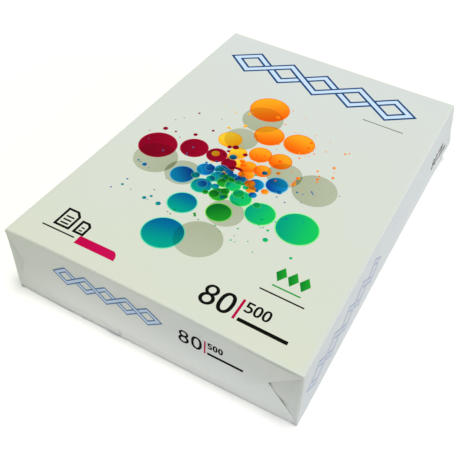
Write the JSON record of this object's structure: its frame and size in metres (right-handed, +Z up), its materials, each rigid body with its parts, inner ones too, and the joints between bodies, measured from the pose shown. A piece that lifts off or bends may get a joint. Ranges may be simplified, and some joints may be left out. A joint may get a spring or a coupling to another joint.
{
  "type": "ream of paper",
  "caption": "Sealed ream of copier paper in a printed wrapper: a flat block with folded and glued ends.",
  "frame": {"origin": "middle of the underside", "axes": "+Y along the pack, away from the end where the upright print begins; +X across it to the reader's right; +Z up out of the printed top"},
  "size_m": [0.2112, 0.2992, 0.0531],
  "materials": {
    "wrapper": "satin",
    "ink_orange": "satin",
    "ink_yellow": "satin",
    "ink_crimson": "satin",
    "ink_blue": "satin",
    "ink_sky": "satin",
    "ink_teal": "satin",
    "ink_green": "satin",
    "ink_leaf": "satin",
    "ink_grey": "satin",
    "ink_magenta": "satin",
    "ink_black": "satin"
  },
  "bodies": {
    "root": {"wrapped_ream": "wrapper", "print_orange": "ink_orange", "print_yellow": "ink_yellow", "print_crimson": "ink_crimson", "print_blue": "ink_blue", "print_sky": "ink_sky", "print_teal": "ink_teal", "print_green": "ink_green", "print_leaf": "ink_leaf", "print_grey": "ink_grey", "print_magenta": "ink_magenta", "print_black": "ink_black"}
  },
  "joints": []
}
